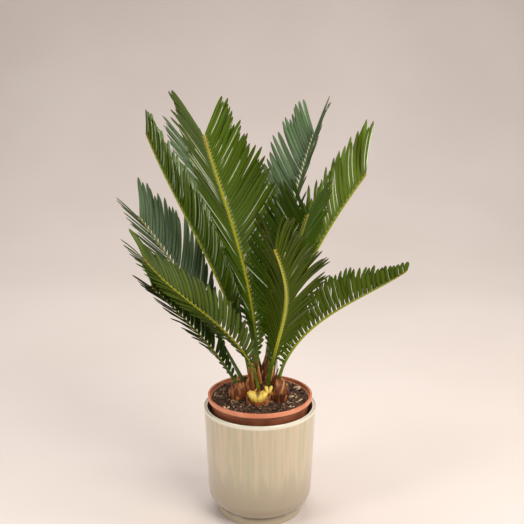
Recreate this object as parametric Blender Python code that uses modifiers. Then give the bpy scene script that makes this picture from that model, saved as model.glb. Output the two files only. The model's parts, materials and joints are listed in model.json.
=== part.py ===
"""Potted sago palm: cover pot, nursery pot, soil, scaly stem base and eleven feather-shaped fronds.

Metres, +Z up. The origin is the centre of the cover pot's foot, on the surface it stands on.
Lengths in the tables are millimetres and angles are degrees.
"""

import math
import random
from collections import namedtuple

import bmesh
import bpy
from mathutils import Matrix, Vector, noise
from mathutils.bvhtree import BVHTree

MM = 0.001
GAP = 0.3
# Points nearer than this after a cut are one point, in metres
WELD = 0.000001

# Cover pot, a glazed cylinder that tapers to a rounded bottom on a set-in foot
COVER_RIM_Z = 131.5
COVER_RIM_R = 64.5
COVER_LOW_R = 60.6
COVER_WALL = 3.6
COVER_ROUND_W = 26.2
COVER_ROUND_H = 22.3
COVER_INNER_ROUND_W = 14.0
COVER_FOOT_R = 49.6
COVER_FOOT_H = 5.8
COVER_FLOOR_Z = 14.4
COVER_STEPS = 40

# Nursery pot, 120 mm across its lip, standing on the cover pot's floor
NURSERY_LIP_R = 60.0
NURSERY_TOP_Z = 144.2
NURSERY_LIP_H = 6.0
NURSERY_WALL_R = 57.0
NURSERY_WALL = 1.2
NURSERY_FOOT_R = 42.0
NURSERY_FLOOR = 1.6
NURSERY_STEPS = 32
DRAIN_HOLES = 6
DRAIN_R = 3.2
DRAIN_RING_R = 32.0

# Soil, level with a few lumps
SOIL_TOP = 139.5
SOIL_LUMP = 1.3
SOIL_GRAIN = 11.0
SOIL_STEPS = 32
SOIL_RINGS = (38.0, 47.0)

# Stem base: swollen bulbs grown together, each x, y, radius in x, radius in y, height above the soil
BULBS = (
    (2.0, 3.0, 22.0, 18.0, 30.0),
    (-2.0, -17.0, 13.0, 13.0, 13.5),
    (21.8, -6.0, 10.5, 12.0, 23.0),
    (-24.0, -1.0, 11.0, 10.0, 17.0),
    (-16.0, 11.0, 12.0, 12.0, 17.0),
    (18.0, 14.0, 12.0, 11.0, 17.0),
    (2.0, 19.0, 14.0, 9.0, 16.0),
)
BULB_DEPTH = 15.0
BULB_SIDES = 10
BULB_RINGS = 6
SCALE_ROWS = 2
SCALE_LENGTH = 17.0
SCALE_WIDTH = 12.5
SCALE_THICKNESS = 1.6
SCALE_SINK = 3.0
SPINES = 8
SPINE_LENGTH = 21.0
SPINE_WIDTH = 5.0

# Fronds
Frond = namedtuple("Frond", "name foot azimuth curl leans length bare leaflet rises sweeps twists")
# foot: x, y and height above the soil. azimuth: heading at the foot, 0 along +X, 90 along +Y.
# curl: how far the heading turns by the tip. leans: from upright, at the foot, belly and tip.
# bare: share of the length with no leaflets. leaflet: longest leaflet.
# rises: how far the left and the right row fold up out of the flat, at the lowest and the last pair.
# sweeps: leaflet's angle to the midrib on the left and the right, at the lowest and the last pair.
# twists: how far the left and the right leaflets turn about themselves, overlapping like slats.
FRONDS = (
    Frond("frond_01", (-3, -3, 26.5), 232, 31, (-2, 35, 51), 344, 0.20, 80,
          ((22, 22), (48, 36)), ((44, 36), (38, 28)), (-13, -13)),
    Frond("frond_02", (-1, -14, 6.5), 188, -2, (2, 75, 34), 214, 0.24, 44,
          ((-8, 80), (-4, 46)), ((44, 64), (28, 18)), (13, 13)),
    Frond("frond_03", (8, -10, 13.5), 296, -44, (17, 61, 45), 278, 0.22, 66,
          ((25, 74), (55, 60)), ((62, 56), (28, 30)), (-13, -13)),
    Frond("frond_04", (8, 0, 25.5), 303, -27, (7, 35, 54), 261, 0.26, 68,
          ((30, 35), (46, 48)), ((48, 54), (28, 42)), (-13, -13)),
    Frond("frond_05", (14, 7, 20.5), 4, -1, (8, 27, 36), 260, 0.22, 74,
          ((34, 44), (50, 56)), ((52, 58), (34, 46)), (13, 13)),
    Frond("frond_06", (20, -1, 12.5), 349, -14, (7, 72, 52), 215, 0.20, 46,
          ((60, 64), (60, 64)), ((70, 74), (54, 58)), (13, 13)),
    Frond("frond_07", (-20, 9, 15.5), 168, -1, (27, 33, 38), 226, 0.34, 70,
          ((6, 44), (6, 44)), ((54, 50), (30, 32)), (13, 13)),
    Frond("frond_08", (6, 11, 24.5), 62, 3, (12, 26, 45), 300, 0.24, 74,
          ((32, 60), (32, 60)), ((54, 54), (34, 34)), (-13, -13)),
    Frond("frond_09", (-11, 4, 22.5), 172, 2, (9, 37, 21), 302, 0.24, 60,
          ((56, 44), (58, 44)), ((44, 46), (30, 28)), (-13, 13)),
    Frond("frond_10", (-4, 11, 24.5), 127, -13, (6, 56, 46), 314, 0.24, 66,
          ((36, 35), (24, 35)), ((56, 50), (30, 18)), (13, 13)),
    Frond("frond_11", (-24, -2, 11.5), 176, 2, (29, 45, 44), 156, 0.22, 46,
          ((10, 40), (0, 40)), ((58, 58), (28, 28)), (13, 13)),
)
PATH_STEPS = 48
MIDRIB_RINGS = 11
CORNER_REACH = 1.25
ROOT_LENGTH = 9.0
# Midrib radius at shares of the length
MIDRIB_RADII = ((0.0, 3.6), (0.06, 2.9), (0.14, 2.1), (0.5, 1.6), (1.0, 0.9))
PITCH = 7.4
FIRST_LEAFLET = 0.45
# Share of its full length that the last leaflet of the left and the right row keeps
LAST_LEAFLETS = {
    "frond_01": (0.58, 0.92),
    "frond_02": (0.9, 0.9),
    "frond_05": (0.95, 0.95),
    "frond_06": (0.25, 0.25),
    "frond_07": (0.55, 0.75),
    "frond_09": (0.55, 0.55),
}
SOME_LAST_LEAFLETS = (0.75, 0.75)
LEAFLET_MID = 0.68
LEAFLET_ROOT_W = 2.4
LEAFLET_W = 4.6
LEAFLET_T = 0.8
LEAFLET_BEND = 7.0
CLEARANCE = 0.45
# Turns in rise and sweep that a leaflet tries, in this order, to pass clear of another frond
TURNS = (
    (0, 0), (7, 0), (-7, 0), (0, 9), (0, -9), (14, 0), (-14, 0), (12, 10), (-12, 10), (12, -10), (-12, -10),
    (22, 0), (-22, 0), (22, 14), (-22, 14), (22, -14), (-22, -14), (34, 0), (-34, 0), (48, 0), (-48, 0),
)
SHORTENED = (1.0, 0.76, 0.56, 0.4)
# Fleshy yellow lobes at two feet: centre x, y, height above the soil, then three radii
BASE_LOBES = {
    "frond_02": (((-7.5, -21.5, 8.0), (6.0, 8.0, 6.0)), ((3.5, -22.0, 6.5), (6.0, 7.5, 6.0))),
    "frond_03": (((11.0, -15.0, 13.5), (5.0, 4.5, 4.5)),),
}


def material(name, colour, roughness):
    """A plain material with the part's colour."""
    mat = bpy.data.materials.new(name)
    mat.use_nodes = True
    shader = mat.node_tree.nodes["Principled BSDF"]
    shader.inputs["Base Color"].default_value = (*colour, 1.0)
    shader.inputs["Roughness"].default_value = roughness
    shader.inputs["Metallic"].default_value = 0.0
    return mat


def mesh_object(name, verts, faces, collection):
    """An object from points in millimetres and faces."""
    mesh = bpy.data.meshes.new(name)
    mesh.from_pydata([Vector(v) * MM for v in verts], [], faces)
    obj = bpy.data.objects.new(name, mesh)
    collection.objects.link(obj)
    return obj


def new_collection(name):
    """A collection linked to the scene."""
    collection = bpy.data.collections.new(name)
    bpy.context.scene.collection.children.link(collection)
    return collection


def settle(obj):
    """Apply the object's modifiers to its mesh."""
    graph = bpy.context.evaluated_depsgraph_get()
    mesh = bpy.data.meshes.new_from_object(obj.evaluated_get(graph))
    obj.modifiers.clear()
    obj.data = mesh


def combine(obj, collection, operation):
    """One Boolean between an object and a whole collection, whose objects are then removed."""
    cut = obj.modifiers.new(operation.lower(), "BOOLEAN")
    cut.operation = operation
    cut.solver = "EXACT"
    cut.operand_type = "COLLECTION"
    cut.collection = collection
    settle(obj)
    for used in list(collection.objects):
        bpy.data.objects.remove(used)
    bpy.data.collections.remove(collection)


def keep_largest(obj):
    """Drop loose scraps that a cut left behind: keep the largest set of triangles joined by edges."""
    bm = bmesh.new()
    bm.from_mesh(obj.data)
    bmesh.ops.triangulate(bm, faces=bm.faces[:])
    bmesh.ops.dissolve_degenerate(bm, edges=bm.edges[:], dist=WELD)
    waiting, bodies = set(bm.faces), []
    while waiting:
        body, edge = [], [waiting.pop()]
        while edge:
            face = edge.pop()
            body.append(face)
            near = {f for e in face.edges if len(e.link_faces) == 2 for f in e.link_faces} & waiting
            waiting -= near
            edge.extend(near)
        bodies.append(body)
    bodies.sort(key=len)
    for body in bodies[:-1]:
        bmesh.ops.delete(bm, geom=body, context="FACES")
    bm.to_mesh(obj.data)
    bm.free()


def finish(obj, mat, smooth_angle=None):
    """Give the object its only material and, on round pieces, smooth shading."""
    obj.data.materials.clear()
    obj.data.materials.append(mat)
    if smooth_angle:
        obj.data.shade_smooth()
        obj.data.set_sharp_from_angle(angle=math.radians(smooth_angle))


def turned(name, profile, steps, collection):
    """A solid of revolution from a profile that runs up the inside and down the outside."""
    edges = [(i, i + 1) for i in range(len(profile) - 1)]
    mesh = bpy.data.meshes.new(name)
    mesh.from_pydata([(r * MM, 0.0, z * MM) for r, z in profile], edges, [])
    obj = bpy.data.objects.new(name, mesh)
    collection.objects.link(obj)
    screw = obj.modifiers.new("turn", "SCREW")
    screw.steps = steps
    screw.render_steps = steps
    screw.use_merge_vertices = True
    screw.merge_threshold = 0.00001
    settle(obj)
    return obj


def rounding(centre_r, centre_z, width, height, start, end, count):
    """Points on a quarter ellipse, by angle below the horizontal."""
    points = []
    for i in range(count):
        a = math.radians(start + (end - start) * i / (count - 1))
        points.append((centre_r + width * math.cos(a), centre_z - height * math.sin(a)))
    return points


def cover_pot(collection):
    """The glazed outer pot."""
    bend_z = COVER_FOOT_H + COVER_ROUND_H
    centre_r = COVER_LOW_R - COVER_ROUND_W
    foot_angle = math.degrees(math.acos((COVER_FOOT_R + 0.4 - centre_r) / COVER_ROUND_W))
    outside = rounding(centre_r, bend_z, COVER_ROUND_W, COVER_ROUND_H, 0, foot_angle, 5)
    groove_z = outside[-1][1]
    inner_r = COVER_LOW_R - COVER_WALL - COVER_INNER_ROUND_W
    inside = rounding(inner_r, bend_z, COVER_INNER_ROUND_W, bend_z - COVER_FLOOR_Z, 90, 0, 4)
    half = COVER_WALL / 2
    profile = [(0, COVER_FLOOR_Z)] + inside
    profile += [
        (COVER_RIM_R - COVER_WALL, COVER_RIM_Z - half),
        (COVER_RIM_R - half * 1.5, COVER_RIM_Z - half * 0.2),
        (COVER_RIM_R - half, COVER_RIM_Z),
        (COVER_RIM_R - half * 0.5, COVER_RIM_Z - half * 0.2),
        (COVER_RIM_R, COVER_RIM_Z - half),
    ]
    profile += outside
    profile += [
        (COVER_FOOT_R - 1.2, groove_z - 0.9),
        (COVER_FOOT_R, groove_z - 2.0),
        (COVER_FOOT_R, 0.9),
        (COVER_FOOT_R - 0.9, 0),
        (0, 0),
    ]
    pot = turned("cover_pot", profile, COVER_STEPS, collection)
    finish(pot, material("glazed ceramic", (0.56, 0.46, 0.34), 0.22), 35)
    return pot


def nursery_inner_r(z):
    """Radius of the nursery pot's inside at a height, in millimetres."""
    top = NURSERY_TOP_Z - NURSERY_LIP_H
    bottom = COVER_FLOOR_Z + GAP
    share = (z - bottom) / (top - bottom)
    return NURSERY_FOOT_R + (NURSERY_WALL_R - NURSERY_FOOT_R) * min(share, 1.0) - NURSERY_WALL


def nursery_pot(collection):
    """The thin plastic pot with its lip and drain holes."""
    bottom = COVER_FLOOR_Z + GAP
    lip = NURSERY_TOP_Z - NURSERY_LIP_H
    floor = bottom + NURSERY_FLOOR
    profile = [
        (0, floor),
        (nursery_inner_r(floor), floor),
        (nursery_inner_r(lip), lip),
        (NURSERY_LIP_R - 2.4, lip + 1.4),
        (NURSERY_LIP_R - 2.2, NURSERY_TOP_Z - 0.7),
        (NURSERY_LIP_R - 1.6, NURSERY_TOP_Z),
        (NURSERY_LIP_R - 0.7, NURSERY_TOP_Z),
        (NURSERY_LIP_R, NURSERY_TOP_Z - 0.8),
        (NURSERY_LIP_R, lip + 0.4),
        (NURSERY_LIP_R - 0.4, lip),
        (NURSERY_WALL_R, lip),
        (NURSERY_FOOT_R, bottom),
        (0, bottom),
    ]
    pot = turned("nursery_pot", profile, NURSERY_STEPS, collection)
    drills = new_collection("drain drills")
    for i in range(DRAIN_HOLES):
        angle = math.tau * i / DRAIN_HOLES
        mesh = bpy.data.meshes.new("drill")
        bm = bmesh.new()
        bmesh.ops.create_cone(
            bm, cap_ends=True, segments=8, radius1=DRAIN_R * MM, radius2=DRAIN_R * MM, depth=6 * MM
        )
        bm.to_mesh(mesh)
        bm.free()
        drill = bpy.data.objects.new("drill", mesh)
        ring = DRAIN_RING_R * MM
        drill.location = (ring * math.cos(angle), ring * math.sin(angle), (bottom + NURSERY_FLOOR / 2) * MM)
        drills.objects.link(drill)
    combine(pot, drills, "DIFFERENCE")
    finish(pot, material("terracotta plastic", (0.62, 0.22, 0.12), 0.5), 35)
    return pot


def bulb(name, centre, radii, depth, collection):
    """An egg: an upper half with its own height and a deeper or shallower lower half."""
    mesh = bpy.data.meshes.new(name)
    bm = bmesh.new()
    bmesh.ops.create_uvsphere(bm, u_segments=BULB_SIDES, v_segments=BULB_RINGS, radius=1.0)
    for v in bm.verts:
        height = radii[2] if v.co.z > 0 else depth
        v.co = (Vector(centre) + Vector((v.co.x * radii[0], v.co.y * radii[1], v.co.z * height))) * MM
    bm.to_mesh(mesh)
    bm.free()
    obj = bpy.data.objects.new(name, mesh)
    collection.objects.link(obj)
    return obj


def all_bulbs(collection, grow):
    """The stem base's bulbs, grown by a gap where they cut the soil."""
    made = []
    for i, (x, y, rx, ry, height) in enumerate(BULBS):
        radii = (rx + grow, ry + grow, height + grow)
        made.append(bulb(f"bulb {i}", (x, y, SOIL_TOP), radii, BULB_DEPTH + grow, collection))
    return made


def soil(collection):
    """Potting soil that fills the nursery pot, with a plain hole where the stem base stands."""
    floor = COVER_FLOOR_Z + NURSERY_FLOOR + 2 * GAP
    edge = nursery_inner_r(SOIL_TOP) - GAP - 0.1
    profile = [(0, SOIL_TOP)]
    profile += [(r, SOIL_TOP) for r in SOIL_RINGS]
    profile += [(edge, SOIL_TOP - 0.8), (nursery_inner_r(floor) - GAP - 0.1, floor), (0, floor)]
    block = turned("soil", profile, SOIL_STEPS, collection)
    for v in block.data.vertices:
        radius = math.hypot(v.co.x, v.co.y) / MM
        if v.co.z > (SOIL_TOP - 0.1) * MM and radius < edge - 1:
            v.co.z += noise.noise(v.co / (SOIL_GRAIN * MM)) * 2 * SOIL_LUMP * MM
    hole = new_collection("soil hole")
    all_bulbs(hole, GAP)
    combine(block, hole, "DIFFERENCE")
    finish(block, material("potting soil", (0.07, 0.045, 0.03), 0.95))
    return block


def frond_path(frond):
    """Points, headings and shares of length along the midrib, in millimetres."""
    at = Vector((frond.foot[0], frond.foot[1], frond.foot[2] + SOIL_TOP))
    step = frond.length / PATH_STEPS
    points, headings = [at.copy()], []
    for i in range(PATH_STEPS):
        s = (i + 0.5) / PATH_STEPS
        foot, belly, tip = frond.leans
        lean = math.radians(foot * (1 - s) ** 2 + 2 * belly * s * (1 - s) + tip * s * s)
        heading = math.radians(frond.azimuth + frond.curl * s)
        at = at + step * Vector(
            (math.sin(lean) * math.cos(heading), math.sin(lean) * math.sin(heading), math.cos(lean))
        )
        points.append(at.copy())
        headings.append(heading)
    headings.append(headings[-1])
    return points, headings


def frame_at(path, s):
    """Point, tangent, left-hand side and upper side of the midrib at a share of its length."""
    points, headings = path
    where = min(max(s, 0.0), 0.9999) * PATH_STEPS
    i = int(where)
    point = points[i].lerp(points[i + 1], where - i)
    tangent = (points[i + 1] - points[i]).normalized()
    left = Vector((-math.sin(headings[i]), math.cos(headings[i]), 0.0))
    return point, tangent, left, tangent.cross(left).normalized()


def midrib_radius(s):
    """Midrib radius at a share of the length."""
    for (s0, r0), (s1, r1) in zip(MIDRIB_RADII, MIDRIB_RADII[1:]):
        if s <= s1:
            return r0 + (r1 - r0) * max(s - s0, 0.0) / (s1 - s0)
    return MIDRIB_RADII[-1][1]


def midrib_corners(frond):
    """Angles of the section's four corners, so that both leaflet rows leave through a flat face."""
    left = (frond.rises[0][0] + frond.rises[1][0]) / 2
    right = 180 - (frond.rises[0][1] + frond.rises[1][1]) / 2
    middle, spread = (left + right) / 2, (right - left) / 2
    first = middle if spread < 67.5 else middle + 45
    return [math.radians(first + 90 * k) for k in range(4)]


def midrib(frond, path, grow, collection):
    """A four-cornered loft from the root in the stem base to the tip."""
    stations = [(i / (MIDRIB_RINGS - 1)) ** 1.25 for i in range(MIDRIB_RINGS)]
    start, tangent, left, up = frame_at(path, 0.0)
    sections = [(start - tangent * (ROOT_LENGTH + grow), left, up, midrib_radius(0.0))]
    for s in stations:
        point, _, left, up = frame_at(path, s)
        sections.append((point, left, up, midrib_radius(s)))
    corners = []
    for point, left, up, radius in sections:
        reach = radius * CORNER_REACH + grow
        for a in midrib_corners(frond):
            corners.append(point + (left * math.cos(a) + up * math.sin(a)) * reach)
    last = len(corners) - 4
    faces = [(3, 2, 1, 0), (last, last + 1, last + 2, last + 3)]
    for ring in range(0, last, 4):
        for k in range(4):
            n = (k + 1) % 4
            faces.append((ring + k, ring + n, ring + 4 + n, ring + 4 + k))
    return mesh_object("midrib", corners, faces, collection)


def needle(points, sides, keels, widths, thicknesses):
    """A three-sided blade through root, middle and tip points, as corners and faces."""
    corners = []
    for point, side, keel, width, thick in zip(points[:2], sides, keels, widths, thicknesses):
        corners += [point + side * width / 2, point - side * width / 2, point - keel * thick]
    corners.append(points[2])
    faces = [(0, 1, 2), (0, 3, 4, 1), (1, 4, 5, 2), (2, 5, 3, 0), (3, 6, 4), (4, 6, 5), (5, 6, 3)]
    return corners, faces


def triangles(corners, faces):
    """A blade's faces split into triangles, for the clearance test."""
    split = []
    for face in faces:
        split += [(face[0], face[i], face[i + 1]) for i in range(1, len(face) - 1)]
    return corners, split


def leaflet_blade(frond, path, s, side, length, rise, sweep, grow=0.0):
    """One leaflet: side is 1 on the left row and -1 on the right row."""
    point, tangent, left, up = frame_at(path, s)
    row = math.cos(rise) * side * left + math.sin(rise) * up
    face = (tangent.cross(row) * side).normalized()
    bend = math.radians(LEAFLET_BEND)
    first = math.cos(sweep + bend) * tangent + math.sin(sweep + bend) * row
    last = math.cos(sweep - bend) * tangent + math.sin(sweep - bend) * row
    middle = point + first * length * LEAFLET_MID
    tip = middle + last * length * (1 - LEAFLET_MID)
    twist = math.radians(frond.twists[0 if side > 0 else 1]) * side
    sides, keels = [], []
    for direction in (first, (first + last).normalized()):
        turn = Matrix.Rotation(twist, 3, direction)
        keels.append(turn @ face)
        sides.append(direction.cross(keels[-1]).normalized())
    root_width = min(LEAFLET_ROOT_W, midrib_radius(s) * 1.5)
    widths = (root_width + grow, LEAFLET_W + grow)
    thicknesses = (LEAFLET_T * 0.9 + grow, LEAFLET_T + grow)
    return needle((point, middle, tip + last * grow), sides, keels, widths, thicknesses)


def leaflet_slots(frond, draw):
    """Share of length, row, length, rise and sweep of every leaflet before it gives way."""
    pairs = int(frond.length * (1 - frond.bare) / PITCH)
    for i in range(pairs):
        u = i / (pairs - 1)
        full = FIRST_LEAFLET + (1 - FIRST_LEAFLET) * math.sin(min(u / 0.45, 1.0) * math.pi / 2)
        rows = zip((1, -1), *frond.rises, *frond.sweeps)
        for side, low_rise, high_rise, low_sweep, high_sweep in rows:
            rise = low_rise + (high_rise - low_rise) * u
            sweep = low_sweep + (high_sweep - low_sweep) * u
            s = frond.bare + (1 - frond.bare) * (i + 0.25 * side + 0.5) / (pairs + 0.2)
            last = LAST_LEAFLETS.get(frond.name, SOME_LAST_LEAFLETS)[0 if side > 0 else 1]
            fade = 1 - (1 - last) * max(u - 0.45, 0.0) / 0.55
            length = frond.leaflet * full * fade * draw.uniform(0.93, 1.05)
            yield s, side, length, rise + draw.uniform(-1, 1), sweep + draw.uniform(-1, 1)


def place_leaflets(frond, path, obstacles, seed):
    """Choose each leaflet's turn so that it passes clear of the other fronds."""
    draw = random.Random(seed)
    placed = []
    for s, side, length, rise, sweep in leaflet_slots(frond, draw):
        chosen = None
        for share in SHORTENED:
            for rise_turn, sweep_turn in TURNS:
                pose = (length * share, math.radians(rise + rise_turn), math.radians(sweep + sweep_turn))
                grown = leaflet_blade(frond, path, s, side, *pose, grow=2 * CLEARANCE)
                tree = BVHTree.FromPolygons(*triangles(*grown), all_triangles=True)
                if not any(tree.overlap(other) for other in obstacles):
                    chosen = pose
                    break
            if chosen:
                break
        if chosen:
            placed.append((s, side, *chosen))
    return placed


def object_tree(obj):
    """Search tree of an object's faces, in millimetres."""
    verts = [v.co / MM for v in obj.data.vertices]
    return BVHTree.FromPolygons(verts, [tuple(p.vertices) for p in obj.data.polygons])


def frond_foot(frond, path, grow, collection):
    """The midrib and any fleshy lobes at its foot, as loose solids in the collection."""
    made = [midrib(frond, path, grow, collection)]
    for centre, lobe in BASE_LOBES.get(frond.name, ()):
        middle = (centre[0], centre[1], centre[2] + SOIL_TOP)
        radii = [r + grow for r in lobe]
        made.append(bulb("lobe", middle, radii, radii[2], collection))
    return made


def fronds(collection):
    """Every frond: a midrib and its leaflets in one solid."""
    paths = [frond_path(frond) for frond in FRONDS]
    scratch = new_collection("midribs")
    ribs = [frond_foot(frond, path, CLEARANCE, scratch) for frond, path in zip(FRONDS, paths)]
    rib_trees = [[object_tree(piece) for piece in rib] for rib in ribs]
    for piece in list(scratch.objects):
        bpy.data.objects.remove(piece)
    bpy.data.collections.remove(scratch)
    green = material("frond green", (0.09, 0.2, 0.035), 0.42)
    done, made = [], []
    for i, (frond, path) in enumerate(zip(FRONDS, paths)):
        obstacles = [tree for j, trees in enumerate(rib_trees) if j != i for tree in trees] + done
        parts = new_collection("leaflets")
        corners, faces = [], []
        for s, side, length, rise, sweep in place_leaflets(frond, path, obstacles, i):
            blade = leaflet_blade(frond, path, s, side, length, rise, sweep)
            mesh_object("leaflet", *blade, parts)
            start = len(corners)
            split = triangles(*blade)
            corners += split[0]
            faces += [tuple(start + k for k in face) for face in split[1]]
        done.append(BVHTree.FromPolygons(corners, faces, all_triangles=True))
        pieces = frond_foot(frond, path, 0.0, collection)
        for extra in pieces[1:]:
            collection.objects.unlink(extra)
            parts.objects.link(extra)
        combine(pieces[0], parts, "UNION")
        pieces[0].name = frond.name
        finish(pieces[0], green)
        made.append(pieces[0])
    return paths, made


def scale_blade(root, out, along, length, width, grow=0.0):
    """A pointed scale that stands on a surface point and follows it upwards."""
    middle = root + (along * 0.9 + out * 0.3).normalized() * length * 0.5
    tip = middle + (along * 0.9 + out * 0.5).normalized() * length * 0.5
    side = along.cross(out).normalized()
    widths = (width * 0.85 + grow, width + grow)
    thicknesses = (SCALE_THICKNESS + grow, SCALE_THICKNESS + grow)
    return needle((root, middle, tip), (side, side), (out, out), widths, thicknesses)


def inside_bulb(point, index, margin):
    """Whether a point lies inside any bulb but the one at the index."""
    for i, (x, y, rx, ry, height) in enumerate(BULBS):
        offset = Vector(((point.x - x) / rx, (point.y - y) / ry, (point.z - SOIL_TOP) / height))
        if i != index and offset.length < margin:
            return True
    return False


def scale_roots():
    """Where the scales grow: surface point, outward direction, upward direction, length and width."""
    draw = random.Random(5)
    for index, (x, y, rx, ry, height) in enumerate(BULBS):
        for row in range(SCALE_ROWS):
            tilt = math.radians(14 + 44 * row / (SCALE_ROWS - 1))
            count = max(3, round(math.tau * (rx + ry) / 2 * math.cos(tilt) / (SCALE_WIDTH * 0.95)))
            for k in range(count):
                turn = math.tau * (k + 0.5 * (row % 2) + draw.uniform(-0.15, 0.15)) / count
                flat = Vector((math.cos(turn), math.sin(turn), 0.0))
                cup = Vector((rx * flat.x * math.cos(tilt), ry * flat.y * math.cos(tilt), height * math.sin(tilt)))
                point = Vector((x, y, SOIL_TOP)) + cup
                out = Vector((cup.x / rx ** 2, cup.y / ry ** 2, cup.z / height ** 2)).normalized()
                along = (Vector((0, 0, 1)) - out * out.z).normalized()
                length = SCALE_LENGTH * draw.uniform(0.8, 1.1)
                if not inside_bulb(point, index, 1.02):
                    yield point - out * SCALE_SINK, out, along, length, SCALE_WIDTH
    x, y, rx, ry, height = BULBS[0]
    for k in range(SPINES):
        turn = math.tau * (k + draw.uniform(-0.2, 0.2)) / SPINES
        reach = 0.45 + 0.25 * (k % 2)
        flat = Vector((math.cos(turn), math.sin(turn), 0.0))
        top = height * math.sqrt(1 - reach * reach)
        point = Vector((x + rx * reach * flat.x, y + ry * reach * flat.y, SOIL_TOP + top - SCALE_SINK))
        along = (Vector((0, 0, 1)) + flat * 0.25).normalized()
        out = (flat - along * flat.dot(along)).normalized()
        yield point, out, along, SPINE_LENGTH * draw.uniform(0.8, 1.2), SPINE_WIDTH


def stem_base(collection, paths):
    """The bulbs and scales in one solid, with a plain hole for each frond's foot."""
    holes = new_collection("frond holes")
    for frond, path in zip(FRONDS, paths):
        frond_foot(frond, path, GAP, holes)
    trees = [object_tree(piece) for piece in holes.objects]
    parts = new_collection("bulbs and scales")
    body = all_bulbs(parts, 0.0)[0]
    parts.objects.unlink(body)
    collection.objects.link(body)
    body.name = "stem_base"
    for root, out, along, length, width in scale_roots():
        grown = scale_blade(root, out, along, length, width, grow=0.6)
        tree = BVHTree.FromPolygons(*triangles(*grown), all_triangles=True)
        if not any(tree.overlap(other) for other in trees):
            mesh_object("scale", *scale_blade(root, out, along, length, width), parts)
    combine(body, parts, "UNION")
    combine(body, holes, "DIFFERENCE")
    keep_largest(body)
    finish(body, material("stem scales", (0.2, 0.08, 0.035), 0.75))
    return body


def main():
    """Clear the scene and build the plant in its pots."""
    for old in list(bpy.data.objects):
        bpy.data.objects.remove(old)
    plant = new_collection("potted sago palm")
    cover_pot(plant)
    nursery_pot(plant)
    soil(plant)
    paths, _ = fronds(plant)
    stem_base(plant, paths)


main()
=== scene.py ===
"""Looks of the potted sago palm on the CAD frame: fine fronds, scaly stem base, gritty soil, smooth pots.

Lengths are millimetres, scaled to metres where a mesh is made, and angles are degrees. The camera, the studio
and the materials are in metres.
"""

import json
import random
from collections import namedtuple
from math import acos, copysign, cos, degrees, exp, pi, radians, sin, sqrt, tan, tau

import bmesh
import bpy
from mathutils import Matrix, Vector, noise
from mathutils.bvhtree import BVHTree

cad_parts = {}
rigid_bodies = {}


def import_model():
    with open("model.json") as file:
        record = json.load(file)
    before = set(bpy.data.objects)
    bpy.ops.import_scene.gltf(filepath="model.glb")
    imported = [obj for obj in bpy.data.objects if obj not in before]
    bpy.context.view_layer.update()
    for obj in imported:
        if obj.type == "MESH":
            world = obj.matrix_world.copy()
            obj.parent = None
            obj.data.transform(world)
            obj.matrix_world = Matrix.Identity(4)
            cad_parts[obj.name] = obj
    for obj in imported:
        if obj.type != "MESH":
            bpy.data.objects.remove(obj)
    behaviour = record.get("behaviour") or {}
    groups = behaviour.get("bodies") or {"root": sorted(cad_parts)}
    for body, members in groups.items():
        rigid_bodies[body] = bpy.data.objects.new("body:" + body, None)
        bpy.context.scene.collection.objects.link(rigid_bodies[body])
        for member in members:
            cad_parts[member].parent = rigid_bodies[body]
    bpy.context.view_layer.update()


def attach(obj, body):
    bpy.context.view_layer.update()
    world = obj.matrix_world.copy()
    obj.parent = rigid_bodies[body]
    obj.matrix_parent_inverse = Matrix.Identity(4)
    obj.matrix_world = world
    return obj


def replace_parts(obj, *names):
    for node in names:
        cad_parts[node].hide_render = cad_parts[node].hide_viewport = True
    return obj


MM = 0.001
GAP = 0.3

# Camera at the photograph's angle
CAMERA_PLACE = (0.0024, -0.9947, 0.5613)
CAMERA_PITCH = 14.72
FOCAL_PX = 924.0
FRAME_PX = 524.0
SENSOR_MM = 36.0

# Studio paper that sweeps up behind
PAPER_HALF_W = 6.0
PAPER_FRONT = -4.0
PAPER_BACK = 2.2
PAPER_SWEEP_R = 1.2
PAPER_TOP = 5.0
PAPER_SWEEP_STEP = 6
SKY_COLOUR = (0.78, 0.78, 0.8, 1)
SKY_STRENGTH = 0.42
# Soft lights: name, place, target, size, power, colour
SOFTBOXES = (
    ("key", (0.9, -1.0, 1.5), (0, 0, 0.25), (1.0, 1.0), 26, (1.0, 0.98, 0.95)),
    ("left strip", (-1.1, -0.7, 0.7), (0, 0, 0.15), (0.35, 1.3), 8, (0.97, 0.98, 1.0)),
    ("right strip", (1.25, -0.2, 0.6), (0, 0, 0.12), (0.3, 1.2), 6, (1.0, 0.97, 0.93)),
    ("top", (-0.2, 0.7, 1.8), (0, 0, 0.3), (1.4, 1.0), 22, (0.96, 0.98, 1.0)),
)

# Cover pot
COVER_RIM_Z = 131.5
COVER_RIM_R = 64.5
COVER_LOW_R = 60.6
COVER_WALL = 3.6
COVER_ROUND_W = 26.2
COVER_ROUND_H = 22.3
COVER_INNER_ROUND_W = 14.0
COVER_FOOT_R = 49.6
COVER_FOOT_H = 5.8
COVER_FLOOR_Z = 14.4
TURN_STEPS = 160
# How far outside the foot the rounded bottom ends, and the groove's points, in from the foot and down
COVER_ROUND_END = 0.4
COVER_GROOVE = ((0.6, 0.3), (1.3, 0.8), (1.2, 1.3), (0.4, 1.8), (0.0, 2.4))
COVER_FOOT_EDGE = 0.9
# Heights between which the glaze changes, in metres: foot to body, dark to light, plain to painted reflection
# streaks, streaks to rim
GLAZE_FOOT = (0.0052, 0.0068)
GLAZE_LOW = (0.02, 0.075)
GLAZE_STREAKS_END = (0.046, 0.062)
GLAZE_STREAKS_SHIFT = 0.024
GLAZE_RIM = (0.125, 0.1275)
SHARP_ANGLE = 42

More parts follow.
